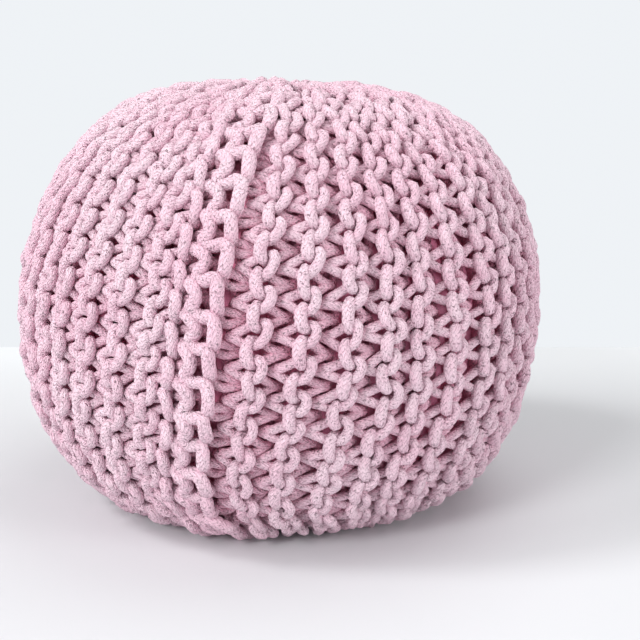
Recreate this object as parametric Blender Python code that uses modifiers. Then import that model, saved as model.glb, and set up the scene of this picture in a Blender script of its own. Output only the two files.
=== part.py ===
# Knitted pouf: a garter-stitch cover of thick cotton cord, sewn up one side with a cord,
# over a filled round casing. Metres, +Z up, standing on z = 0 with its axis on Z, front at -Y.
import math

import bpy
import numpy as np

# Outline of the stuffed cover
DIAMETER = 0.400
HEIGHT = 0.320
WAIST_HEIGHT = 0.146        # height of the widest ring
BASE_RADIUS = 0.100         # flat disc that the pouf stands on
EYE_RADIUS = 0.014          # small opening left where the top is gathered
EYE_DIP = 0.006             # how far the gathered eye lies below the crown
TOP_FULLNESS = 0.76         # exponents of the two outline curves, 1 is an ellipse, less is boxier
BASE_FULLNESS = 0.79
TOP_ROWS = 11               # outline points from the eye to the waist
BASE_ROWS = 8               # outline points from the waist to the base

# Knitting
RIDGES = 45                 # garter ridges round the pouf
RIDGE_DEPTH = 0.005         # from a ridge down to the valley beside it
RIDGE_FADE = 0.035          # length of outline over which the ridges fade out at base and eye
COVER_THICKNESS = 0.018     # thickness of the knitting, ridge to back
TWIST = math.radians(-10)   # lean of the ridges from top to base, against the turn of the axis
LIP_POINTS = 3              # outline points between the two walls round the eye

# Seam
SEAM_AZIMUTH = math.radians(260.4)  # direction of the seam's top end, seen from above
SEAM_PULL = 0.003                   # how much deeper than a valley the seam pulls its channel
SEAM_FADE = 0.120                   # length of outline over which that pull fades at each end
SEAM_CORD_RADIUS = 0.0035
SEAM_TOP_CLEAR = 0.070              # distance of the cord's top end from the pouf's axis
SEAM_BASE_CLEAR = 0.012             # height of the cord's lower end above the floor

GAP = 0.0003                # clearance between neighbouring pieces
SEAM_SEAT = 0.0005          # clearance of the seam cord over its channel, whose facets are skewed


def clear_scene():
    for leftover in list(bpy.data.objects):
        bpy.data.objects.remove(leftover, do_unlink=True)


def cloth_material(name, colour, roughness):
    material = bpy.data.materials.new(name)
    material.use_nodes = True
    shader = material.node_tree.nodes["Principled BSDF"]
    shader.inputs["Base Color"].default_value = (*colour, 1.0)
    shader.inputs["Roughness"].default_value = roughness
    shader.inputs["Metallic"].default_value = 0.0
    return material


def quarter_outline(inner_radius, rise, fullness, rows):
    # A quarter superellipse, its rows at equal angles: the radius falls from the waist's to
    # inner_radius as the height goes from 0 to rise.
    angle = np.linspace(0.0, math.pi / 2, rows)
    radius = inner_radius + (DIAMETER / 2 - inner_radius) * np.cos(angle).clip(0) ** fullness
    return np.column_stack((radius, rise * np.sin(angle)))


def outer_outline():
    # From the eye down to the edge of the base, as (radius, height) rows.
    lip_centre = EYE_RADIUS + COVER_THICKNESS / 2
    top = quarter_outline(lip_centre, HEIGHT - WAIST_HEIGHT, TOP_FULLNESS, TOP_ROWS)[::-1]
    base = quarter_outline(BASE_RADIUS, -WAIST_HEIGHT, BASE_FULLNESS, BASE_ROWS)[1:]
    top[0, 1] -= EYE_DIP
    outline = np.vstack((top, base))
    outline[:, 1] += WAIST_HEIGHT
    return outline


def outline_normals(outline):
    # Unit normals that point away from the filling: level at the waist, upright at both ends.
    along = np.gradient(outline, axis=0)
    normals = np.column_stack((-along[:, 1], along[:, 0]))
    normals /= np.linalg.norm(normals, axis=1, keepdims=True)
    normals[0] = (0.0, 1.0)
    normals[-1] = (0.0, -1.0)
    return normals


def inset_outline(distance):
    outline = outer_outline()
    return outline - outline_normals(outline) * distance


def cover_outline():
    # One closed section of the shell: up the inner wall, over the eye's lip, down the outer wall.
    inner = inset_outline(COVER_THICKNESS)[::-1]
    turn = np.linspace(math.pi * 1.5, math.pi * 0.5, LIP_POINTS + 2)[1:-1]
    half = COVER_THICKNESS / 2
    lip = np.column_stack((EYE_RADIUS + half + half * np.cos(turn),
                           HEIGHT - EYE_DIP - half + half * np.sin(turn)))
    outer = outer_outline()
    outer_foot = np.array([[0.0, 0.0]])
    inner_foot = np.array([[0.0, COVER_THICKNESS]])
    return np.vstack((inner_foot, inner, lip, outer, outer_foot))


def turned(name, outline, steps, collection):
    # A profile in the XZ plane, turned once about Z.
    mesh = bpy.data.meshes.new(name)
    points = [(radius, 0.0, height) for radius, height in outline]
    edges = [(first, first + 1) for first in range(len(points) - 1)]
    mesh.from_pydata(points, edges, [])
    piece = bpy.data.objects.new(name, mesh)
    collection.objects.link(piece)
    screw = piece.modifiers.new("Turn", "SCREW")
    screw.axis = "Z"
    screw.steps = steps
    screw.render_steps = steps
    screw.use_merge_vertices = True
    screw.merge_threshold = 0.0001
    return piece


def relief(outline, fade):
    # Share of full depth at each outline row: all on the sides, none at the base and the eye.
    step = np.linalg.norm(np.diff(outline, axis=0), axis=1)
    distance = np.concatenate(([0.0], np.cumsum(step)))
    from_end = np.minimum(distance, distance[-1] - distance)
    return (from_end / fade).clip(0, 1)


def valley_depth(outline):
    return RIDGE_DEPTH * relief(outline, RIDGE_FADE)


def channel_depth(outline):
    return valley_depth(outline) + SEAM_PULL * relief(outline, SEAM_FADE)


def twist_at(height):
    return TWIST * (HEIGHT - height) / HEIGHT


def knit_cover(collection, material):
    # The turned shell is made a mesh, then its outer wall gets its relief and its lean. Odd
    # columns are valleys, even ones ridges, and the seam's channel takes the place of column 0.
    piece = turned("knit_cover", cover_outline(), 2 * RIDGES, collection)
    evaluated = piece.evaluated_get(bpy.context.evaluated_depsgraph_get())
    mesh = bpy.data.meshes.new_from_object(evaluated)
    piece.modifiers.clear()
    piece.data = mesh
    outline = outer_outline()
    normals = outline_normals(outline)
    valley = valley_depth(outline)
    channel = channel_depth(outline)
    for vertex in mesh.vertices:
        radius = math.hypot(vertex.co.x, vertex.co.y)
        away = np.hypot(outline[:, 0] - radius, outline[:, 1] - vertex.co.z)
        row = int(away.argmin())
        if away[row] > GAP:
            continue
        azimuth = math.atan2(vertex.co.y, vertex.co.x)
        column = round(azimuth / math.pi * RIDGES) % (2 * RIDGES)
        push = 0.0
        if column % 2 == 1:
            push = valley[row]
        if column == 0:
            push = channel[row]
        radius = outline[row, 0] - normals[row, 0] * push
        height = outline[row, 1] - normals[row, 1] * push
        azimuth += twist_at(outline[row, 1])
        vertex.co = (radius * math.cos(azimuth), radius * math.sin(azimuth), height)
    mesh.materials.clear()
    mesh.materials.append(material)
    mesh.shade_smooth()
    return piece


def casing(collection, material):
    # The filled inner bag, one solid, a gap's width inside the cover's inner wall.
    outline = inset_outline(COVER_THICKNESS + GAP)
    top = np.array([[0.0, outline[0, 1]]])
    bottom = np.array([[0.0, outline[-1, 1]]])
    piece = turned("casing", np.vstack((top, outline, bottom)), RIDGES, collection)
    piece.data.materials.append(material)
    return piece


def seam_cord(collection, material):
    # A cord along the seam's channel, from near the eye down to just above the floor.
    outline = outer_outline()
    normals = outline_normals(outline)
    lift = SEAM_CORD_RADIUS + SEAM_SEAT - channel_depth(outline)
    points = []
    for row, (radius, height) in enumerate(outline):
        if radius < SEAM_TOP_CLEAR or height < SEAM_BASE_CLEAR:
            continue
        azimuth = twist_at(height)
        reach = radius + normals[row, 0] * lift[row]
        points.append((reach * math.cos(azimuth), reach * math.sin(azimuth),
                       height + normals[row, 1] * lift[row]))
    curve = bpy.data.curves.new("seam_cord", "CURVE")
    curve.dimensions = "3D"
    curve.bevel_depth = SEAM_CORD_RADIUS
    curve.bevel_resolution = 2
    curve.use_fill_caps = True
    spline = curve.splines.new("POLY")
    spline.points.add(len(points) - 1)
    for point, place in zip(spline.points, points):
        point.co = (*place, 1.0)
    piece = bpy.data.objects.new("seam_cord", curve)
    piece.data.materials.append(material)
    collection.objects.link(piece)
    return piece


def main():
    clear_scene()
    collection = bpy.data.collections.new("knitted_pouf")
    bpy.context.scene.collection.children.link(collection)
    cord = cloth_material("pink_cotton_cord", (0.80, 0.60, 0.68), 0.9)
    lining = cloth_material("deep_pink_cloth", (0.36, 0.09, 0.17), 0.85)
    pieces = (knit_cover(collection, cord), casing(collection, lining), seam_cord(collection, cord))
    for piece in pieces:
        piece.rotation_euler.z = SEAM_AZIMUTH


main()
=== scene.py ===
import math
import bpy
import numpy as np
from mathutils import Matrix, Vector


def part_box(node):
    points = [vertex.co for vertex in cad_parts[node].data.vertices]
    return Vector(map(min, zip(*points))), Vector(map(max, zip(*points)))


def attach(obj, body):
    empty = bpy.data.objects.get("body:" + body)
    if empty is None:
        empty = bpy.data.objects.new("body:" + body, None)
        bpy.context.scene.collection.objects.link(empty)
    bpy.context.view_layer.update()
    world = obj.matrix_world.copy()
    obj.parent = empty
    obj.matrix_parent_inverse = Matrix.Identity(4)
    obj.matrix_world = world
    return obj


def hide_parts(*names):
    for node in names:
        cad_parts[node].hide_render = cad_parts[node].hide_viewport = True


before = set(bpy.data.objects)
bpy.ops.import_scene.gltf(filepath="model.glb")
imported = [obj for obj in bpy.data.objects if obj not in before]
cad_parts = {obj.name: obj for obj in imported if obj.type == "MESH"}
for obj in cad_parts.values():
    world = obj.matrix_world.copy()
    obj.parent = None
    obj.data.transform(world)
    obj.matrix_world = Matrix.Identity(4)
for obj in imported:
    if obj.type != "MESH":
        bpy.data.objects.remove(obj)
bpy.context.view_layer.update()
coverLow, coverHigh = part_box("knit_cover")
print("frame", len(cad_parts), "nodes")

crownRise = 0.0007             # the loops on the crown stand this far over the cover's solid

# The stuffed form that the knitting follows, in metres
form = {
    "width": coverHigh[0] - coverLow[0],
    "height": coverHigh[2] - coverLow[2] + crownRise,
    "waistHeight": 0.146,      # height of the widest ring
    "topFullness": 0.76,       # exponents of the two curves of its side: less is boxier
    "baseFullness": 0.79,
    "baseRadius": 0.098,       # flat disc that it stands on
    "eyeRadius": 0.017,        # where the cover turns in round each gathered eye
    "eyeDip": 0.003,           # how far the crown sinks towards its eye
    "dipRadius": 0.075,        # distance from the axis where it starts to sink
    "lipDrop": 0.016,          # how far the cover goes down into each eye
    "lipFlare": 0.7,           # and how far in, in lip drops
    "softening": 41,           # outline points that its outward direction is averaged over
    "floorGap": 0.0003,        # no cord lies lower than this
}


def smooth(low, high, value):
    # 0 below low, 1 above high, and an even S between
    t = np.clip((value - low) / (high - low), 0, 1)
    return t * t * (3 - 2 * t)


def outline():
    # The pouf's section as one smooth line from inside the upper eye over the waist to inside
    # the lower eye. Each quarter is r = inner + (R - inner) cos(t)^fullness, z = rise sin(t), and
    # each lip is a quarter ellipse. Points lie evenly; nr and nz are the outward direction.
    radius = form["width"] / 2
    eye = form["eyeRadius"]
    base = form["baseRadius"]
    drop = form["lipDrop"]
    t = np.linspace(math.pi / 2, 0, 400)
    topR = eye + (radius - eye) * np.cos(t).clip(0) ** form["topFullness"]
    topZ = form["waistHeight"] + (form["height"] - form["waistHeight"]) * np.sin(t)
    topZ -= form["eyeDip"] * (1 - smooth(eye, form["dipRadius"], topR))
    lowR = base + (radius - base) * np.cos(t).clip(0) ** form["baseFullness"]
    lowZ = form["waistHeight"] * (1 - np.sin(t))
    lip = np.linspace(math.pi, math.pi / 2, 30)[:-1]
    lipR = eye + drop * form["lipFlare"] * np.cos(lip)
    lipZ = topZ[0] - drop + drop * np.sin(lip)
    disc = np.linspace(base, eye, 60)[1:]
    r = np.concatenate((lipR, topR, lowR[::-1][1:], disc, lipR[::-1]))
    z = np.concatenate((lipZ, topZ, lowZ[::-1][1:], disc * 0, drop - drop * np.sin(lip[::-1])))
    s = np.concatenate(([0], np.cumsum(np.hypot(np.diff(r), np.diff(z)))))
    even = np.linspace(0, s[-1], 1500)
    r = np.interp(even, s, r)
    z = np.interp(even, s, z)
    kernel = np.hanning(form["softening"])
    kernel /= kernel.sum()
    half = form["softening"] // 2
    dr, dz = [np.convolve(np.pad(np.gradient(line), half, "edge"), kernel, "valid") for line in (r, z)]
    size = np.hypot(dr, dz)
    lipLength = np.hypot(np.diff(lipR), np.diff(lipZ)).sum()
    return {"s": even, "r": r, "z": z, "nr": -dz / size, "nz": dr / size, "eye": lipLength}


section = outline()
print("outline", round(section["s"][-1], 3), "m from eye to eye")


def along(name, s):
    # One of the section's columns at s metres along it
    return np.interp(s, section["s"], section[name])


# The knitting: garter stitch whose rows run from crown to base. Each ridge is one row's heads
# beside the next row's sinker loops. Even rows have their sinker loops in front, and odd rows
# their heads. Lengths called "in cords" are in cord thicknesses.
knit = {
    "cord": 0.0075,            # thickness of the cord
    "rows": 87,
    "pieces": 6,               # sectors of neighbouring rows
    "pitch": 0.0221,           # stitch length along a row
    "middle": 0.2578,          # where along a row a sinker loop has its middle
    "eyeMargin": 0.004,        # rows end at least this far from the section's ends
    "inset": 1.5,              # the middle of the cloth lies this deep in the form, in cords
    "turnRadius": 0.03,        # nearer the axis, a step across turns only as far as it would here
    "overlap": 1.30,           # how far heads reach past the next row's sinkers, in cords
    "reach": 0.40,             # how far the odd rows' sinker loops reach back, in cords
    "sinkerSwell": -0.24,      # the stitch as it runs, in cords: two sines along the row, first
    "sinkerPinch": 0.80,       # for even rows, then for odd ones
    "headSwell": 0.25,
    "headPinch": 0.74,
    "headTuck": 0.13,          # a third sine that sets the odd rows' legs apart from the others
    "lift": 0.22,              # loops in front sit this much nearer the crown, in cords
    "slant": 0.10,             # sideways lean of even and of odd rows' loops, in cords
    "headSlant": 0.24,
    "straight": 0.05,          # how much of a third cosine straightens the loops
    "sinkerFront": 1.05,       # how far out the loops lie, in cords: in front in even and in odd
    "headFront": 1.15,         # rows, and at the back
    "back": 0.78,
    "tilt": 0.12,              # the lower end of a sinker loop stands out over the next one's top
    "farLeg": 0.10,            # how far out even rows' legs lie, and how much they rise to the
    "farRise": 0.36,           # sinker loop, in cords
    "nearLeg": 0.40,           # the same for odd rows, whose legs fall to it
    "nearRise": 0.14,
    "flipAt": 0.67,            # share of the way across where a leg turns to the loop's depth
    "flipWidth": 0.11,         # and how quickly
    "slack": 0.27,             # how much higher the legs stand where the cloth is slack, in cords
    "slackEnds": (210, 270),   # it gets slack between these degrees round, up to the last row
    "barWidth": 1.12,          # width of the cord, in cords: pressed wide in sinker loops, less so
    "headWidth": 0.92,         # in heads, and drawn thin in the legs between
    "legWidth": 0.85,
    "fluff": 0.07,             # how much thicker the slack cord is
    "squeezeEnds": (0.1, 1.2), # rows get squeezed between these distances apart, in cords
    "squeezedReach": 0.45,     # how far across a stitch then still goes, and how thick its cord
    "squeezedWidth": 0.8,      # still is
    "firstShift": -0.25,       # the first and last rows' legs beside the seam run level, this far
    "lastShift": -0.64,        # along, in cords
    "firstTop": 0.15,          # the first row lies no further out than this, under the seam, the
    "lastBottom": -0.4,        # last row no further in than this, and its legs stand higher, all
    "lastRise": 0.35,          # in cords
    "sides": 8,                # points round the cord, and along each stitch
    "steps": 23,
}

# Degrees round from the sewing cord to every second row, first on one side of the seam and
# then on the other, as stretched by hand. The rest are spread evenly over the back.
ridgePlaces = {
    0: 3.5, 2: 11, 4: 19.5, 6: 28, 8: 36, 10: 43, 12: 51, 14: 60.5, 16: 67.5,
    82: 334.5, 84: 342.5, 86: 350,
}
lastSpacing = 8.0              # degrees from the last ridge to the cloth's edge

# The seam runs down the front and leans, and the rows beside it lean with it. Pairs called
# "Ends" say where a change starts and is complete, in metres along a row.
seam = {
    "azimuth": math.radians(-106.2),  # direction of its middle
    "middle": 0.283,                  # where along a row its middle is
    "lean": math.radians(-9.5),       # turn from its top to its base
    "leanEnds": (0.02, 0.46),
    "topCurl": math.radians(1.5),     # more turn at its top end
    "topCurlEnds": (0.08, 0.20),
    "footTurn": math.radians(-1.6),   # a little more lean low down
    "footTurnEnds": (0.33, 0.39),
    "baseCurl": math.radians(4),      # and back at its base
    "baseCurlEnds": (0.42, 0.47),
    "straighten": 0.85,               # share of its lean that the rows far from it lose
    "losesLean": (12, 60),            # degrees round where they lose it
    "regainsLean": (150, 260),        # and get it back
}

# The cloth is pleated where it is gathered, near both eyes.
pleats = {
    "depth": 1.3,              # in cords
    "rows": 4,                 # from one pleat to the next
    "leastGap": 0.3,           # rows nearer each other than this count as this far apart, in cords
    "full": 0.05,              # distance from the axis inside which pleats have their full depth
    "none": 0.12,              # and outside which there are none
}

# Uneven work: how far stitches stray, and by what share the cord's thickness varies
unevenness = {
    "stray": 0.14,             # in cords
    "crownStray": 0.6,         # how much further stitches stray sideways near the crown
    "crownEnds": (0.10, 0.22), # where along a row that fades out
    "strayRadius": 0.06,       # nearer the axis, straying turns a stitch only as far as here
    "thickness": 0.05,
    "seamThickness": 0.04,
    "waveRadius": 0.2,         # waves along a row are as long as those round this radius
}

# Soft dents and bulges of the stuffed form: direction in degrees, place along a row, and how
# far out in metres
lumps = {
    "leftShoulder": (150, 0.115, 0.0020),
    "leftUpper": (185, 0.205, -0.0022),
    "leftLower": (200, 0.365, 0.0018),
    "rightLower": (-10, 0.345, -0.0026),
    "frontFoot": (-55, 0.425, -0.0022),
    "rightCrown": (20, 0.090, -0.0024),
}
lumpTurn = math.radians(40)    # turn and distance over which each fades
lumpLength = 0.055


def waves(count, low, high, seed):
    # Soft unevenness: plane waves over the cloth, each a whole number from low to high of them
    # round the pouf, at any angle and phase.
    pick = np.random.default_rng(seed)
    return {
        "round": pick.integers(low, high, count),
        "along": pick.uniform(-high, high, count) / unevenness["waveRadius"],
        "phase": pick.uniform(0, 2 * math.pi, count),
        "gain": 1 / math.sqrt(count / 2),
    }


def uneven(field, turn, s):
    # Sum of the field's waves, sin(k turn + a s + phase)
    total = np.zeros(np.broadcast(turn, s).shape)
    for k, a, p in zip(field["round"], field["along"], field["phase"]):
        total += np.sin(k * turn + a * s + p)
    return total * field["gain"]


fields = {
    "along": waves(18, 4, 32, 11),
    "round": waves(18, 4, 32, 12),
    "out": waves(18, 3, 28, 13),
    "thick": waves(20, 20, 110, 14),
}


def turnAt(row):
    # Direction of a row round the pouf, from the sewing cord: straight between the known ridges
    # and from the last one to the cloth's edge
    rows = np.array(list(ridgePlaces) + [knit["rows"] + 1])
    last = list(ridgePlaces.values())[-1]
    turns = np.array(list(ridgePlaces.values()) + [last + lastSpacing])
    return np.radians(np.interp(row, rows, turns))


def leanAt(turn, s):
    # Turn of a point by the seam's lean: even Ss along the row, weaker far from the seam
    lean = seam["lean"] * (smooth(*seam["leanEnds"], s) - smooth(*seam["leanEnds"], seam["middle"]))
    loses = smooth(*np.radians(seam["losesLean"]), turn)
    regains = smooth(*np.radians(seam["regainsLean"]), turn)
    lean = lean * (1 - seam["straighten"] * loses * (1 - regains))
    lean = lean + seam["topCurl"] * (1 - smooth(*seam["topCurlEnds"], s))
    lean = lean + seam["footTurn"] * smooth(*seam["footTurnEnds"], s)
    return lean + seam["baseCurl"] * smooth(*seam["baseCurlEnds"], s)


def lumpAt(angle, s):
    # Sum of round hills: height e^(-(turn / lumpTurn)^2 - (distance / lumpLength)^2)
    total = 0
    for direction, where, height in lumps.values():
        turn = np.angle(np.exp(1j * (angle - math.radians(direction)))) / lumpTurn
        total = total + height * np.exp(-turn ** 2 - ((s - where) / lumpLength) ** 2)
    return total


def place(s, turn, aside, out, pleatRow):
    # Puts cloth coordinates on the pouf: s metres along a row, turn round from the sewing cord,
    # aside metres across, out metres from the middle of the cloth. pleatRow is the row's number,
    # which sets its place in a pleat. Gives each point and the outward direction there.
    cord = knit["cord"]
    crown = 1 - smooth(*unevenness["crownEnds"], s)
    stray = unevenness["stray"] * cord * (1 + unevenness["crownStray"] * crown)
    r = along("r", s)
    turn = turn + aside / np.maximum(r, knit["turnRadius"])
    moved = s + stray * uneven(fields["along"], turn, s)
    sideways = stray * uneven(fields["round"], turn, s) / np.maximum(r, unevenness["strayRadius"])
    angle = seam["azimuth"] + leanAt(turn, s) + turn + sideways
    out = out + unevenness["stray"] * cord * uneven(fields["out"], turn, s) + lumpAt(angle, s)
    r, z, nr, nz = [along(name, moved) for name in ("r", "z", "nr", "nz")]
    pleat = (1 - smooth(pleats["full"], pleats["none"], r)) * pleats["depth"] * cord
    out = out - pleat * (0.5 - 0.5 * np.cos(pleatRow * 2 * math.pi / pleats["rows"]))
    inset = knit["inset"] * cord - out
    r = r - nr * inset
    z = z - nz * inset
    nr = nr + angle * 0
    nz = nz + angle * 0
    return (np.stack((r * np.cos(angle), r * np.sin(angle), z), -1),
            np.stack((nr * np.cos(angle), nr * np.sin(angle), nz), -1))


def stitchPath(t, side, gap, slack):
    # One row of stitches as it runs: t turns once per stitch, 0 in a sinker loop and pi in a
    # head; side is 1 in even rows and -1 in odd ones. Along is a steady run and three sines that
    # pinch the legs together behind each loop, less a lift in proportion to depth. Across is a
    # cosine from sinker to head, straightened by a third cosine, and a slanting sine. Depth flips
    # between the legs' height and the loops' front or back height with a quick S at each crossing.
    cord = knit["cord"]
    swing = np.cos(t)
    flip = (np.tanh((np.abs(swing) - knit["flipAt"]) / knit["flipWidth"]) + 1) / 2
    front = np.where(side > 0, knit["sinkerFront"] + knit["tilt"] * np.sin(t), knit["headFront"])
    loop = np.where(side * swing > 0, front, -knit["back"])
    evenLeg = knit["farLeg"] + knit["farRise"] * swing
    oddLeg = knit["nearLeg"] - knit["nearRise"] * swing
    leg = np.where(side > 0, evenLeg, oddLeg) + knit["slack"] * slack
    depth = loop * flip + leg * (1 - flip)
    swell = np.where(side > 0, knit["sinkerSwell"], knit["headSwell"])
    pinch = np.where(side > 0, knit["sinkerPinch"], knit["headPinch"])
    tuck = np.where(side > 0, 0, knit["headTuck"])
    run = swell * np.sin(t) + pinch * np.sin(2 * t) + tuck * np.sin(3 * t) - knit["lift"] * depth
    square = (swing - knit["straight"] * np.cos(3 * t)) / (1 - knit["straight"])
    across = (gap + knit["overlap"] * cord) / 2 * (1 - square)
    across = across + np.where(side > 0, knit["slant"], knit["headSlant"]) * cord * np.sin(t)
    across = across - np.where(side > 0, 0, knit["reach"] * cord / 2) * (1 + square)
    return knit["pitch"] * t / (2 * math.pi) + cord * run, across, cord * depth


def evenTimes(steps):
    # Values of t that part one stitch at the waist, one of 90 rows round, into equal lengths
    t = np.linspace(0, 2 * math.pi, 721)
    run, across, out = stitchPath(t, 1.0, form["width"] * math.pi / 90, 0)
    length = np.sqrt(np.diff(run) ** 2 + np.diff(across) ** 2 + np.diff(out) ** 2)
    length = np.concatenate(([0], np.cumsum(length)))
    return np.interp(np.linspace(0, length[-1], steps + 1)[:-1], length, t)


def addPiece(name, mesh, material):
    # A mesh with its material becomes a piece of the scene.
    mesh.materials.append(material)
    piece = bpy.data.objects.new(name, mesh)
    bpy.context.scene.collection.objects.link(piece)
    mesh.calc_loop_triangles()
    print(name, len(mesh.loop_triangles), "triangles")
    return piece


def tube(name, centre, normal, depth, thickness, material):
    # A round cord along many centre lines at once: rings of points square to each line, joined
    # in quads, a flat cap at each end. UV runs in metres along the cord and round it, and meets
    # itself on the side that faces in. The attribute "depth" says how far out a point lies, in
    # cords from the middle of the cloth.
    lines, points = centre.shape[:2]
    sides = knit["sides"]
    run = np.gradient(centre, axis=1)
    run /= np.linalg.norm(run, axis=2, keepdims=True)
    sideways = np.cross(run, normal)
    sideways /= np.linalg.norm(sideways, axis=2, keepdims=True)
    up = np.cross(sideways, run)
    angle = math.pi + np.arange(sides) * (2 * math.pi / sides)
    ring = (np.cos(angle)[None, None, :, None] * up[:, :, None]
            + np.sin(angle)[None, None, :, None] * sideways[:, :, None])
    co = centre[:, :, None] + ring * (thickness / 2)[:, :, None, None]
    co[..., 2] = np.maximum(co[..., 2], form["floorGap"])
    index = np.arange(lines * points * sides).reshape(lines, points, sides)
    here = index[:, :-1]
    ahead = index[:, 1:]
    quads = np.stack((here, ahead, np.roll(ahead, -1, 2), np.roll(here, -1, 2)), -1).reshape(-1, 4)
    caps = np.concatenate((index[:, 0], index[:, -1, ::-1]))
    length = np.linalg.norm(np.diff(centre, axis=1), axis=2)
    length = np.concatenate((np.zeros((lines, 1)), np.cumsum(length, 1)), 1)
    u = np.repeat(length[:, :, None], sides + 1, 2)
    v = np.broadcast_to(np.arange(sides + 1) / sides * math.pi * knit["cord"], u.shape)
    uv = np.stack((u, v), -1)
    uvQuads = np.stack((uv[:, :-1, :-1], uv[:, 1:, :-1], uv[:, 1:, 1:], uv[:, :-1, 1:]), -2)
    corners = np.concatenate((quads.ravel(), caps.ravel()))
    capStarts = len(quads) * 4 + np.arange(len(caps)) * sides
    starts = np.concatenate((np.arange(len(quads)) * 4, capStarts))
    mesh = bpy.data.meshes.new(name)
    mesh.vertices.add(co.size // 3)
    mesh.vertices.foreach_set("co", co.astype(np.float32).ravel())
    mesh.loops.add(len(corners))
    mesh.loops.foreach_set("vertex_index", corners.astype(np.int32))
    mesh.polygons.add(len(starts))
    mesh.polygons.foreach_set("loop_start", starts.astype(np.int32))
    mesh.polygons.foreach_set("use_smooth", np.ones(len(starts), bool))
    layer = mesh.uv_layers.new(name="cord")
    flat = np.concatenate((uvQuads.reshape(-1, 2), np.zeros((caps.size, 2))))
    layer.data.foreach_set("uv", flat.astype(np.float32).ravel())
    # the "depth" attribute sets the cord's painted shade: deeper pink deeper in the cloth
    outward = np.einsum("lpsk,lpk->lps", ring, normal) * (thickness / 2)[:, :, None]
    outward = (outward + depth[:, :, None]) / knit["cord"]
    layer = mesh.attributes.new("depth", "FLOAT", "POINT")
    layer.data.foreach_set("value", outward.astype(np.float32).ravel())
    mesh.update(calc_edges=True)
    mesh.validate()
    return addPiece(name, mesh, material)


def knitRows(name, rows, material):
    # A sector of the cover: one cord line per row, its stitches end to end from eye to eye
    cord = knit["cord"]
    above = knit["middle"] - knit["eyeMargin"]
    below = section["s"][-1] - knit["eyeMargin"] - knit["middle"]
    firstStitch = -math.floor(above / knit["pitch"])
    lastStitch = math.floor(below / knit["pitch"])
    stitches = np.arange(firstStitch, lastStitch)[:, None] * (2 * math.pi)
    t = (stitches + evenTimes(knit["steps"])[None, :]).ravel()
    t = np.concatenate((t, [lastStitch * 2 * math.pi]))[None, :]
    i = rows[:, None]
    isLast = i == knit["rows"] - 1
    side = np.where(i % 2 == 0, 1.0, -1.0)
    turn = turnAt(i)
    gap = along("r", knit["middle"] + t / (2 * math.pi) * knit["pitch"]) * (turnAt(i + 1) - turn)
    near, far = knit["squeezeEnds"]
    room = smooth(near * cord, far * cord, gap)
    slack = smooth(*np.radians(knit["slackEnds"]), turn)
    run, across, out = stitchPath(t, side, gap, slack)
    across = across * (knit["squeezedReach"] + (1 - knit["squeezedReach"]) * room)
    atFirst = np.where(i == 0, 0.5 + 0.5 * np.cos(t), 0)
    atLast = np.where(isLast, 0.5 - 0.5 * np.cos(t), 0)
    run = run - (atFirst + atLast) * knit["sinkerPinch"] * cord * np.sin(2 * t)
    run = run + (knit["firstShift"] * atFirst + knit["lastShift"] * atLast) * cord
    out = np.where(i == 0, np.minimum(out, knit["firstTop"] * cord), out)
    out = np.where(isLast, np.maximum(out, knit["lastBottom"] * cord), out)
    out = out + knit["lastRise"] * cord * np.sin(t) ** 2 * atLast
    s = knit["middle"] + run
    pleatRow = i + across / np.maximum(gap, pleats["leastGap"] * cord) - pleats["rows"] / 2
    centre, normal = place(s, turn, across, out, pleatRow)
    wide = np.where(np.cos(t) > 0, knit["barWidth"], knit["headWidth"])
    width = knit["legWidth"] + (wide - knit["legWidth"]) * np.cos(t) ** 2
    width = width * (knit["squeezedWidth"] + (1 - knit["squeezedWidth"]) * room)
    width = width * (1 + knit["fluff"] * slack)
    thickness = cord * width * (1 + unevenness["thickness"] * uneven(fields["thick"], turn, s))
    return tube(name, centre, normal, out, thickness, material)


# The seam's cords, one stitch of each as a loop of points: across, along and out, in cords from
# the middle of a chain bar. The chain is a ladder: each stitch comes up on its left, runs down
# there as a knot, crosses over to the right as a rung and goes on down as a bold bar, whose end
# dives under the next rung and goes back to the left. The whip holds the chain to the last row,
# and the edge is the bound-off row: an arm from the left, then a bar that ends under the next.
seamLoops = {
    "chain": {
        "blob": (-3.00, -1.30, 0.55),
        "over": (-2.45, -0.98, 1.02),
        "bend": (-1.78, -0.34, 1.12),
        "upright": (-1.72, 0.36, 1.02),
        "curl": (-2.10, 0.90, 0.90),
        "foot": (-2.08, 1.34, 0.85),
        "across": (-1.35, 1.72, 0.98),
        "corner": (-0.50, 1.62, 1.20),
        "barTop": (-0.06, 2.06, 1.38),
        "bar": (0.10, 2.92, 1.42),
        "barLow": (0.12, 3.70, 1.20),
        "barEnd": (0.00, 4.16, 0.40),
        "underNext": (-0.50, 4.30, -0.40),
        "back": (-0.95, 3.45, -0.50),
        "backRise": (-1.90, 2.70, -0.55),
        "rise": (-3.00, 1.85, -0.30),
    },
    "whip": {
        "start": (-3.55, 0.62, -0.35),
        "over": (-3.00, 0.52, 0.22),
        "reach": (-2.35, 0.30, 0.30),
        "under": (-1.60, 0.15, 0.02),
        "behind": (-0.90, 0.30, -0.55),
        "turn": (-1.00, 1.20, -1.05),
        "return": (-2.40, 2.00, -1.15),
        "toEdge": (-3.60, 2.70, -1.00),
    },
    "edge": {
        "armStart": (-5.25, 0.55, -0.10),
        "arm": (-4.60, 0.42, 0.62),
        "corner": (-3.92, 0.22, 1.15),
        "bar": (-3.64, 1.00, 1.36),
        "barLow": (-3.70, 1.95, 1.15),
        "barEnd": (-3.80, 2.55, 0.40),
        "tuck": (-4.20, 2.60, -0.40),
        "behind": (-4.95, 2.60, -0.80),
    },
}
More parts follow.
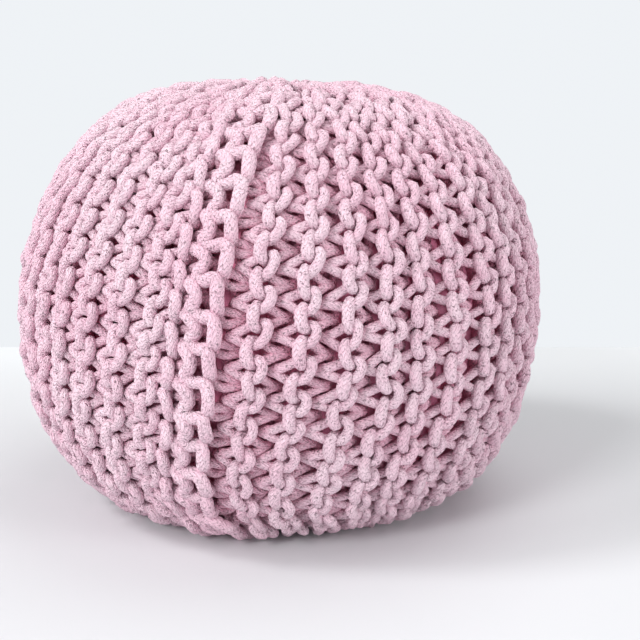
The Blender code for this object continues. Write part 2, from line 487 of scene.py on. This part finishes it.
seamStitch = {
    "width": {"chain": 1.24, "whip": 0.98, "edge": 1.08},   # thickness, in cords
    "steps": {"chain": 44, "whip": 22, "edge": 24},         # points along one stitch
    "phase": 0.36,             # chain bars sit this part of a stitch past the sinker loops
    "shift": 1.86,             # the seam's own line lies this far left of the bars, in cords
    "topMargin": 0.022,        # the cords end at least this far from the section's ends
    "baseMargin": 0.026,
    "narrowRadius": 0.11,      # nearer the axis the loops draw together
    "thinnest": 0.75,          # and the cord gets thinner, down to this share at the axis
    "turnPerMetre": 60,        # how quickly its thickness varies across the seam
}


def loopCurve(points, advance, steps, turns):
    # A smooth curve through a repeating loop of points (Catmull-Rom), one advance further along
    # on each turn
    points = np.array(points, float)
    count = len(points)
    u = np.arange(turns * steps + 1) / steps * count
    k = np.floor(u).astype(int)
    f = (u - k)[:, None]
    knots = []
    for shift in (-1, 0, 1, 2):
        knot = points[(k + shift) % count].copy()
        knot[:, 1] += (k + shift) // count * advance
        knots.append(knot)
    a, b, c, d = knots
    return b + 0.5 * f * (c - a + f * (2 * a - 5 * b + 4 * c - d + f * (3 * (b - c) + d - a)))


def seamCord(name, material):
    # One of the seam's cords, its loop repeated for as many stitches as fit from eye to eye
    cord = knit["cord"]
    pitch = knit["pitch"]
    start = knit["middle"] + seamStitch["phase"] * pitch
    first = -math.floor((start - seamStitch["topMargin"]) / pitch)
    last = math.floor((section["s"][-1] - seamStitch["baseMargin"] - start) / pitch)
    points = list(seamLoops[name].values())
    path = loopCurve(points, pitch / cord, seamStitch["steps"][name], last - first)
    s = (start + first * pitch + path[:, 1] * cord)[None, :]
    narrow = np.minimum(1, along("r", s) / seamStitch["narrowRadius"])
    aside = (path[:, 0] + seamStitch["shift"]) * cord * narrow
    out = (path[:, 2] * cord)[None, :]
    centre, normal = place(s, np.zeros((1, 1)), aside, out, np.zeros((1, 1)))
    width = seamStitch["width"][name] * (seamStitch["thinnest"] + (1 - seamStitch["thinnest"]) * narrow)
    waver = uneven(fields["thick"], aside * seamStitch["turnPerMetre"], s)
    thickness = cord * width * (1 + unevenness["seamThickness"] * waver)
    return tube("seam" + name.capitalize(), centre, normal, out, thickness, material)


# The cord that draws an eye shut: it goes round twice, closing in, and dips over and under the
# ends of the rows; both its own ends are tucked in.
drawCord = {
    "outer": 0.0135,           # distance of its middle from the axis, first and last
    "inner": 0.0048,
    "turns": 2.15,
    "waves": 7,                # dips in one turn
    "dip": 0.22,               # depth of a dip, in cords
    "sway": 0.08,              # how far it sways in and out with each dip, in cords
    "sink": 0.9,               # how far its inner turn lies below its outer one, in cords
    "tuck": 2.2,               # how far its ends dive, in cords, and over what turn
    "tuckTurn": math.radians(25),
    "width": 0.9,              # thickness, in cords
    "level": 0.8,              # how far it lies inside the eye's lip, in cords
    "shade": 0.3,              # it counts as deep in the cloth for this share of its depth, for the cord's painted shade
    "points": 150,
}


def eyeCord(name, level, inward, material):
    # Radius closes evenly from outer to inner with a small wave, height is a cosine wave plus
    # an even fall, and both ends dive inward.
    cord = knit["cord"]
    turn = np.linspace(0, drawCord["turns"] * 2 * math.pi, drawCord["points"])
    part = turn / turn[-1]
    wave = np.cos(drawCord["waves"] * turn)
    r = drawCord["outer"] + (drawCord["inner"] - drawCord["outer"]) * part
    r = r + drawCord["sway"] * cord * wave
    fade = drawCord["tuckTurn"]
    ends = 1 - smooth(0, fade, turn) * smooth(0, fade, turn[-1] - turn)
    down = drawCord["dip"] * wave + drawCord["sink"] * part + drawCord["tuck"] * ends
    centre = np.stack((r * np.cos(turn), r * np.sin(turn), level + inward * down * cord), -1)[None]
    normal = np.zeros_like(centre)
    normal[..., 2] = -inward
    thickness = np.full((1, turn.size), drawCord["width"] * cord)
    return tube(name, centre, normal, -down[None] * cord * drawCord["shade"], thickness, material)


def feed(tree, socket, value):
    # A number or colour is set on the socket itself, and another node's output is linked to it.
    if isinstance(value, bpy.types.NodeSocket):
        tree.links.new(value, socket)
    elif isinstance(value, tuple) and len(value) == 3:
        socket.default_value = (*value, 1)
    else:
        socket.default_value = value


def maths(tree, operation, *values):
    # A Math node
    node = tree.nodes.new("ShaderNodeMath")
    node.operation = operation
    for socket, value in zip(node.inputs, values):
        feed(tree, socket, value)
    return node.outputs[0]


def noise(tree, place, scale, detail=2.0):
    # Soft noise from 0 to 1, scale cells to a metre
    node = tree.nodes.new("ShaderNodeTexNoise")
    feed(tree, node.inputs["Vector"], place)
    feed(tree, node.inputs["Scale"], scale)
    node.inputs["Detail"].default_value = detail
    return node.outputs["Fac"]


def ramp(tree, value, ends, first=0.0, last=1.0):
    # A value that goes from one end to the other becomes first to last, with an even S between
    node = tree.nodes.new("ShaderNodeMapRange")
    node.interpolation_type = "SMOOTHSTEP"
    for name, number in zip(("From Min", "From Max", "To Min", "To Max"), (*ends, first, last)):
        node.inputs[name].default_value = number
    tree.links.new(value, node.inputs["Value"])
    return node.outputs[0]


def blend(tree, factor, first, second, strength=1.0):
    # Mix of two colours, by the factor times the strength
    if strength != 1.0:
        factor = maths(tree, "MULTIPLY", factor, strength)
    node = tree.nodes.new("ShaderNodeMix")
    node.data_type = "RGBA"
    tree.links.new(factor, node.inputs["Factor"])
    feed(tree, node.inputs["A"], first)
    feed(tree, node.inputs["B"], second)
    return node.outputs["Result"]


def newMaterial(name):
    # An empty material, its node tree and its main shader
    material = bpy.data.materials.new(name)
    material.use_nodes = True
    tree = material.node_tree
    return material, tree, tree.nodes["Principled BSDF"]


def objectPlace(tree):
    # Places in metres, as they are on the object
    return tree.nodes.new("ShaderNodeTexCoord").outputs["Object"]


def splitOf(tree, vector):
    # The three parts of a vector
    node = tree.nodes.new("ShaderNodeSeparateXYZ")
    tree.links.new(vector, node.inputs[0])
    return node.outputs


def uvOf(tree, name):
    # The parts of a named UV, which are metres too
    node = tree.nodes.new("ShaderNodeUVMap")
    node.uv_map = name
    return splitOf(tree, node.outputs[0])


def addBump(tree, shader, height, distance):
    # Relief: a height of 1 stands up by the distance.
    node = tree.nodes.new("ShaderNodeBump")
    node.inputs["Distance"].default_value = distance
    tree.links.new(height, node.inputs["Height"])
    tree.links.new(node.outputs[0], shader.inputs["Normal"])


# Cotton, the same in cord and cloth: sizes of its noise in cells to a metre, and the values
# between which that noise changes something
cotton = {
    "slow": 14.0,              # broad and small patches of deeper dye
    "quick": 160.0,
    "slowShare": 0.6,
    "dyeEnds": (0.35, 0.65),
    "fleckEnds": (0.60, 0.70),
    "fuzz": 2600.0,
}


def cottonGroup():
    # What the cord and the casing share, from a place in metres: slow melange of the dye, fine
    # flecks of undyed fibre, and the fuzz that roughens the surface
    group = bpy.data.node_groups.new("cottonFibre", "ShaderNodeTree")
    group.interface.new_socket("Place", in_out="INPUT", socket_type="NodeSocketVector")
    fleckSize = group.interface.new_socket("Fleck Size", in_out="INPUT", socket_type="NodeSocketFloat")
    fleckSize.default_value = 0.001
    for name in ("Melange", "Flecks", "Fuzz"):
        group.interface.new_socket(name, in_out="OUTPUT", socket_type="NodeSocketFloat")
    source = group.nodes.new("NodeGroupInput")
    result = group.nodes.new("NodeGroupOutput")
    place = source.outputs["Place"]
    slow = maths(group, "MULTIPLY", noise(group, place, cotton["slow"], 3.0), cotton["slowShare"])
    quick = maths(group, "MULTIPLY", noise(group, place, cotton["quick"]), 1 - cotton["slowShare"])
    melange = ramp(group, maths(group, "ADD", slow, quick), cotton["dyeEnds"])
    fleckScale = maths(group, "DIVIDE", 1.0, source.outputs["Fleck Size"])
    flecks = ramp(group, noise(group, place, fleckScale, 1.0), cotton["fleckEnds"])
    fuzz = noise(group, place, cotton["fuzz"])
    for name, value in zip(("Melange", "Flecks", "Fuzz"), (melange, flecks, fuzz)):
        group.links.new(value, result.inputs[name])
    return group


def cottonNode(tree, group, place, fleckSize):
    # The group in a material, with its own size of fleck
    node = tree.nodes.new("ShaderNodeGroup")
    node.node_tree = group
    node.inputs["Fleck Size"].default_value = fleckSize
    tree.links.new(place, node.inputs["Place"])
    return node.outputs


def fuzzyRoughness(tree, fuzz, finish):
    # Roughness that varies by fuzzRange about its own value
    rough = maths(tree, "MULTIPLY", fuzz, finish["fuzzRange"])
    return maths(tree, "ADD", rough, finish["roughness"] - finish["fuzzRange"] / 2)


# The cord is a fine knitted tube: columns of small V stitches round a soft core.
cordFinish = {
    "light": (0.96, 0.72, 0.815),       # two ends of the melange, linear colour
    "deep": (0.91, 0.59, 0.71),
    "inner": (0.92, 0.31, 0.48),        # painted shade: deeper pink where the cord lies deep in the cloth, out of the light
    "paintedShadeStrength": 0.95,
    "paintedShadeEnds": (1.0, -0.6),           # from this far out to this, in cords
    "fleck": (0.36, 0.29, 0.33),
    "fleckStrength": 0.30,
    "fleckSize": 0.0009,
    "grooveShade": (0.40, 0.22, 0.285),      # painted shade between the small stitches
    "grooveShadeStrength": 0.65,
    "grooveShadeEnds": (0.62, 0.22),         # heights where a groove starts and is full
    "patch": 330.0,                     # grooves show in patches: cells to a metre
    "patchEnds": (0.40, 0.62),
    "columns": 8,                       # round the cord
    "stitch": 0.0026,                   # length of one small V
    "slope": 1.3,                       # how far a V leans along the cord, in stitches
    "twist": 0.22,                      # how far the columns turn round, for each metre along
    "wobble": 420.0,                    # uneven small stitches: cells to a metre
    "wobbleAlong": 1.5,                 # in stitches
    "wobbleRound": 0.7,                 # in columns
    "plump": 0.6,                       # less is rounder
    "seat": 0.35,                       # how much lower a strand lies at its two ends
    "seatPower": 4.0,                   # more keeps that nearer the ends
    "bump": 0.0008,
    "fuzzBump": 0.5,                    # height of the fuzz, against the strands'
    "roughness": 0.86,
    "fuzzRange": 0.16,
    "sheen": 0.12,
    "sheenRoughness": 0.6,
    "sheenTint": (1.0, 0.86, 0.92),
    "specular": 0.25,
}


def stitchRelief(tree, place):
    # Small stitches from the UV in metres: column = fraction of v times columns, turning slowly
    # round the cord; each half column slopes the other way, so rounded strands at
    # |sin(pi (u / stitch +- slope))| meet in V shapes with grooves between them.
    along, across = uvOf(tree, "cord")[:2]
    wobble = maths(tree, "SUBTRACT", noise(tree, place, cordFinish["wobble"], 1.0), 0.5)
    girth = math.pi * knit["cord"] / cordFinish["columns"]
    shift = maths(tree, "MULTIPLY", wobble, cordFinish["stitch"] * cordFinish["wobbleAlong"])
    u = maths(tree, "ADD", along, shift)
    v = maths(tree, "ADD", across, maths(tree, "MULTIPLY", u, cordFinish["twist"]))
    shift = maths(tree, "MULTIPLY", wobble, cordFinish["wobbleRound"])
    column = maths(tree, "ADD", maths(tree, "DIVIDE", v, girth), shift)
    fold = maths(tree, "PINGPONG", column, 0.5)
    strand = maths(tree, "DIVIDE", u, cordFinish["stitch"])
    strand = maths(tree, "ADD", strand, maths(tree, "MULTIPLY", fold, cordFinish["slope"]))
    ridge = maths(tree, "ABSOLUTE", maths(tree, "SINE", maths(tree, "MULTIPLY", strand, math.pi)))
    ridge = maths(tree, "POWER", ridge, cordFinish["plump"])
    edge = maths(tree, "MULTIPLY", maths(tree, "ABSOLUTE", maths(tree, "SUBTRACT", fold, 0.25)), 4.0)
    seat = maths(tree, "SUBTRACT", 1.0, maths(tree, "POWER", edge, cordFinish["seatPower"]))
    seat = maths(tree, "MULTIPLY", seat, cordFinish["seat"])
    return maths(tree, "MULTIPLY", ridge, maths(tree, "ADD", seat, 1 - cordFinish["seat"]))


def cordMaterialOf(group):
    # Colour goes from the melange to a painted shade of deeper pink where the cord lies deep in the
    # cloth, then flecks, then painted shade in the grooves.
    material, tree, shader = newMaterial("pinkCottonCord")
    place = objectPlace(tree)
    height = stitchRelief(tree, place)
    fibre = cottonNode(tree, group, place, cordFinish["fleckSize"])
    patchy = ramp(tree, noise(tree, place, cordFinish["patch"]), cordFinish["patchEnds"])
    # painted shade: the low places between the small stitches are coloured darker
    grooveShade = maths(tree, "MULTIPLY", ramp(tree, height, cordFinish["grooveShadeEnds"]), patchy)
    # painted shade: by its depth attribute, cord deep in the cloth or on its inner sides is tinted a
    # deeper pink
    depth = tree.nodes.new("ShaderNodeAttribute")
    depth.attribute_name = "depth"
    paintedShade = ramp(tree, depth.outputs["Fac"], cordFinish["paintedShadeEnds"])
    colour = blend(tree, fibre["Melange"], cordFinish["deep"], cordFinish["light"])
    colour = blend(tree, paintedShade, colour, cordFinish["inner"], cordFinish["paintedShadeStrength"])
    colour = blend(tree, fibre["Flecks"], colour, cordFinish["fleck"], cordFinish["fleckStrength"])
    colour = blend(tree, grooveShade, colour, cordFinish["grooveShade"], cordFinish["grooveShadeStrength"])
    feed(tree, shader.inputs["Base Color"], colour)
    feed(tree, shader.inputs["Roughness"], fuzzyRoughness(tree, fibre["Fuzz"], cordFinish))
    feed(tree, shader.inputs["Sheen Weight"], cordFinish["sheen"])
    feed(tree, shader.inputs["Sheen Roughness"], cordFinish["sheenRoughness"])
    feed(tree, shader.inputs["Sheen Tint"], cordFinish["sheenTint"])
    feed(tree, shader.inputs["Specular IOR Level"], cordFinish["specular"])
    fuzz = maths(tree, "MULTIPLY", fibre["Fuzz"], cordFinish["fuzzBump"])
    addBump(tree, shader, maths(tree, "ADD", height, fuzz), cordFinish["bump"])
    return material


cottonFibre = cottonGroup()
cordMaterial = cordMaterialOf(cottonFibre)
print("cord finish made")

sectors = np.array_split(np.arange(knit["rows"]), knit["pieces"])
knitPieces = [knitRows("knitSector" + str(n + 1), rows, cordMaterial) for n, rows in enumerate(sectors)]
print("cover knitted,", knit["rows"], "rows")

seamPieces = [seamCord(name, cordMaterial) for name in seamLoops]
print("seam sewn")

eyeDepth = drawCord["level"] * knit["cord"]
eyePieces = [
    eyeCord("drawCordTop", along("z", section["eye"]) - eyeDepth, -1, cordMaterial),
    eyeCord("drawCordBase", eyeDepth, 1, cordMaterial),
]
print("eyes drawn shut")


# The filled bag inside the cover, of plain woven cloth
casingShape = {
    "out": -1.05,              # how far out it lies from the middle of the knitting, in cords
    "rows": 80,
    "columns": 120,
}
casingFinish = {
    "light": (0.98, 0.35, 0.55),
    "deep": (0.92, 0.28, 0.47),
    "fleckSize": 0.0016,
    "thread": 0.0011,                   # from one thread of the weave to the next
    "weave": 0.25,                      # how much lower a thread lies where it goes under
    "grooveShade": (0.30, 0.08, 0.14),       # painted shade between the threads
    "grooveShadeStrength": 0.3,
    "grooveShadeEnds": (0.4, 0.1),
    "bump": 0.0002,
    "roughness": 0.85,
    "fuzzRange": 0.12,
}


def closedSurface(name, centre, material):
    # A grid of points that closes round the axis, with a point at each pole. UV in metres: round
    # the pouf at its widest girth, and down its side.
    rows, columns = centre.shape[:2]
    poles = [[0, 0, centre[end, :, 2].mean()] for end in (0, -1)]
    co = np.concatenate((centre.reshape(-1, 3), poles))
    index = np.arange(rows * columns).reshape(rows, columns)
    right = np.roll(index, -1, 1)
    quads = np.stack((index[:-1], index[1:], right[1:], right[:-1]), -1).reshape(-1, 4)
    top = np.stack((np.full(columns, rows * columns), index[0], right[0]), -1)
    low = np.stack((np.full(columns, rows * columns + 1), right[-1], index[-1]), -1)
    mesh = bpy.data.meshes.new(name)
    mesh.from_pydata(co.tolist(), [], quads.tolist() + top.tolist() + low.tolist())
    mesh.polygons.foreach_set("use_smooth", np.ones(len(mesh.polygons), bool))
    girth = np.linspace(0, math.pi * form["width"], columns + 1)
    grid = np.stack(np.meshgrid(girth, np.linspace(0, section["s"][-1], rows)), -1)
    sides = np.stack((grid[:-1, :-1], grid[1:, :-1], grid[1:, 1:], grid[:-1, 1:]), -2)
    tops = np.stack((grid[0, :-1], grid[0, :-1], grid[0, 1:]), -2)
    lows = np.stack((grid[-1, :-1], grid[-1, 1:], grid[-1, :-1]), -2)
    uv = np.concatenate([corners.reshape(-1, 2) for corners in (sides, tops, lows)])
    layer = mesh.uv_layers.new(name="cloth")
    layer.data.foreach_set("uv", uv.astype(np.float32).ravel())
    mesh.update()
    return addPiece(name, mesh, material)


def casingMaterial(group):
    # Plain weave from the UV in metres: warp and weft threads are two sines, and each passes
    # over the other where the product of their half-speed sines is positive.
    material, tree, shader = newMaterial("deepPinkCasing")
    speed = math.pi / casingFinish["thread"]
    turns = [maths(tree, "MULTIPLY", axis, speed) for axis in uvOf(tree, "cloth")[:2]]
    warp, weft = [maths(tree, "ABSOLUTE", maths(tree, "SINE", turn)) for turn in turns]
    shifted = [maths(tree, "ADD", turn, math.pi / 2) for turn in turns]
    over = maths(tree, "MULTIPLY", *[maths(tree, "SINE", turn) for turn in shifted])
    over = maths(tree, "MULTIPLY", over, casingFinish["weave"])
    over = maths(tree, "ADD", over, 1 - casingFinish["weave"])
    height = maths(tree, "MULTIPLY", over, maths(tree, "MINIMUM", warp, weft))
    fibre = cottonNode(tree, group, objectPlace(tree), casingFinish["fleckSize"])
    # painted shade: the low places between the weave's threads are coloured darker
    grooveShade = ramp(tree, height, casingFinish["grooveShadeEnds"])
    colour = blend(tree, fibre["Melange"], casingFinish["deep"], casingFinish["light"])
    colour = blend(tree, grooveShade, colour, casingFinish["grooveShade"], casingFinish["grooveShadeStrength"])
    feed(tree, shader.inputs["Base Color"], colour)
    feed(tree, shader.inputs["Roughness"], fuzzyRoughness(tree, fibre["Fuzz"], casingFinish))
    addBump(tree, shader, height, casingFinish["bump"])
    return material


def filledCasing():
    # The cover's own form, a little further in, from lip to lip
    s = np.linspace(section["eye"], section["s"][-1] - section["eye"], casingShape["rows"])[:, None]
    turn = np.linspace(0, 2 * math.pi, casingShape["columns"] + 1)[None, :-1]
    out = casingShape["out"] * knit["cord"] + 0 * turn * s
    centre = place(s, turn, s * 0, out, turn * 0)[0]
    return closedSurface("filledCasing", centre, casingMaterial(cottonFibre))


casing = filledCasing()
print("casing filled")


floorFinish = {
    "colour": (0.71, 0.725, 0.745),
    "far": (0.81, 0.83, 0.85),          # painted light: it turns paler from farStart to its straight edge
    "farStart": 0.12,
    "dim": 0.985,                       # share of the colour in its slightly darker patches
    "patch": 1.3,                       # cells to a metre
    "patchEnds": (0.3, 0.7),
    "grain": 900.0,
    "grainEnds": (0.2, 0.8),
    "smoothest": 0.55,                  # roughness
    "roughest": 0.7,
    "specular": 0.2,
    "bump": 0.00005,
}
room = {
    "wall": (0.863, 0.892, 0.923),      # what the camera sees behind the floor
    "fill": 0.41,                       # light from all round
    "floorBack": 0.45,                  # the floor ends in the wall here
    "floorReach": 3.3,                  # and is round the other ways
    "aim": (0, 0, 0.15),                # where the lamps point
    "lamps": {
        "keyLamp": {"power": 80, "size": 1.1, "place": (-3.3, -0.8, 4.0)},
        "sideLamp": {"power": 44, "size": 2.0, "place": (-3.6, -1.3, 3.0)},
        "topLamp": {"power": 18, "size": 1.8, "place": (0.7, 0.5, 2.2)},
        "frontLamp": {"power": 142, "size": 1.5, "place": (-2.9, -3.8, 2.6)},
        "rightLamp": {"power": 62, "size": 1.6, "place": (3.4, -2.0, 1.3)},
    },
}


def floorMaterial():
    # Pale painted board: slow change of tone, painted light that makes its far edge paler, and a very
    # fine grain
    material, tree, shader = newMaterial("paleFloor")
    place = objectPlace(tree)
    colour = floorFinish["colour"]
    dim = tuple(channel * floorFinish["dim"] for channel in colour)
    tone = ramp(tree, noise(tree, place, floorFinish["patch"]), floorFinish["patchEnds"])
    # painted light: the floor's colour turns paler towards its far edge, in place of light there
    far = ramp(tree, splitOf(tree, place)["Y"], (floorFinish["farStart"], room["floorBack"]))
    colour = blend(tree, far, blend(tree, tone, colour, dim), floorFinish["far"])
    feed(tree, shader.inputs["Base Color"], colour)
    grain = noise(tree, place, floorFinish["grain"])
    rough = ramp(tree, grain, floorFinish["grainEnds"], floorFinish["smoothest"], floorFinish["roughest"])
    feed(tree, shader.inputs["Roughness"], rough)
    feed(tree, shader.inputs["Specular IOR Level"], floorFinish["specular"])
    addBump(tree, shader, grain, floorFinish["bump"])
    return material


def paleFloor():
    # A round board, cut off straight at the back
    end = math.asin(room["floorBack"] / room["floorReach"])
    turn = np.linspace(math.pi - end, 2 * math.pi + end, 120)
    rim = room["floorReach"] * np.stack((np.cos(turn), np.sin(turn), 0 * turn), -1)
    mesh = bpy.data.meshes.new("floor")
    mesh.from_pydata(rim.tolist(), [], [tuple(range(turn.size))])
    return addPiece("floor", mesh, floorMaterial())


def paleWall():
    # The world: the wall that the camera sees is brighter than the light that it gives.
    world = bpy.data.worlds.new("paleRoom")
    world.use_nodes = True
    tree = world.node_tree
    wall = tree.nodes["Background"]
    wall.inputs["Color"].default_value = (*room["wall"], 1)
    fill = tree.nodes.new("ShaderNodeBackground")
    fill.inputs["Color"].default_value = (1, 1, 1, 1)
    fill.inputs["Strength"].default_value = room["fill"]
    both = tree.nodes.new("ShaderNodeMixShader")
    seen = tree.nodes.new("ShaderNodeLightPath").outputs["Is Camera Ray"]
    for value, socket in zip((seen, fill.outputs[0], wall.outputs[0]), both.inputs):
        tree.links.new(value, socket)
    tree.links.new(both.outputs[0], tree.nodes["World Output"].inputs["Surface"])
    return world


def softLamp(name, power, size, place):
    # A square panel of light, turned towards the pouf
    light = bpy.data.lights.new(name, "AREA")
    light.energy = power
    light.size = size
    lamp = bpy.data.objects.new(name, light)
    lamp.location = place
    lamp.rotation_euler = (Vector(room["aim"]) - lamp.location).to_track_quat("-Z", "Y").to_euler()
    bpy.context.scene.collection.objects.link(lamp)


def studio():
    # Five soft lamps: the key high on the left, big ones in front and at the side, and weak ones
    # above and on the right
    scene = bpy.context.scene
    scene.view_settings.view_transform = "Standard"
    scene.world = paleWall()
    paleFloor()
    for name, lamp in room["lamps"].items():
        softLamp(name, **lamp)


view = {
    "distance": 0.92,                   # from the pouf's axis, in metres
    "elevation": math.radians(11.4),
    "sensor": 36,                       # width in mm
    "lens": 65.8,
    "shiftX": 0.061,                    # the pouf stands a little left of the frame's middle
    "shiftY": -0.0288,
}


def camera():
    # Looks at the axis at waist height, from the front and a little above
    data = bpy.data.cameras.new("camera")
    data.sensor_width = view["sensor"]
    data.lens = view["lens"]
    data.shift_x = view["shiftX"]
    data.shift_y = view["shiftY"]
    cam = bpy.data.objects.new("camera", data)
    away = Vector((0, -math.cos(view["elevation"]), math.sin(view["elevation"])))
    cam.location = Vector((0, 0, form["waistHeight"])) + away * view["distance"]
    cam.rotation_euler = (-away).to_track_quat("-Z", "Y").to_euler()
    bpy.context.scene.collection.objects.link(cam)
    bpy.context.scene.camera = cam


studio()
camera()
print("studio lit")

for piece in knitPieces + eyePieces:
    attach(piece, "root")
    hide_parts("knit_cover")
for piece in seamPieces:
    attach(piece, "root")
    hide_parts("seam_cord")
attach(casing, "root")
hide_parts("casing")
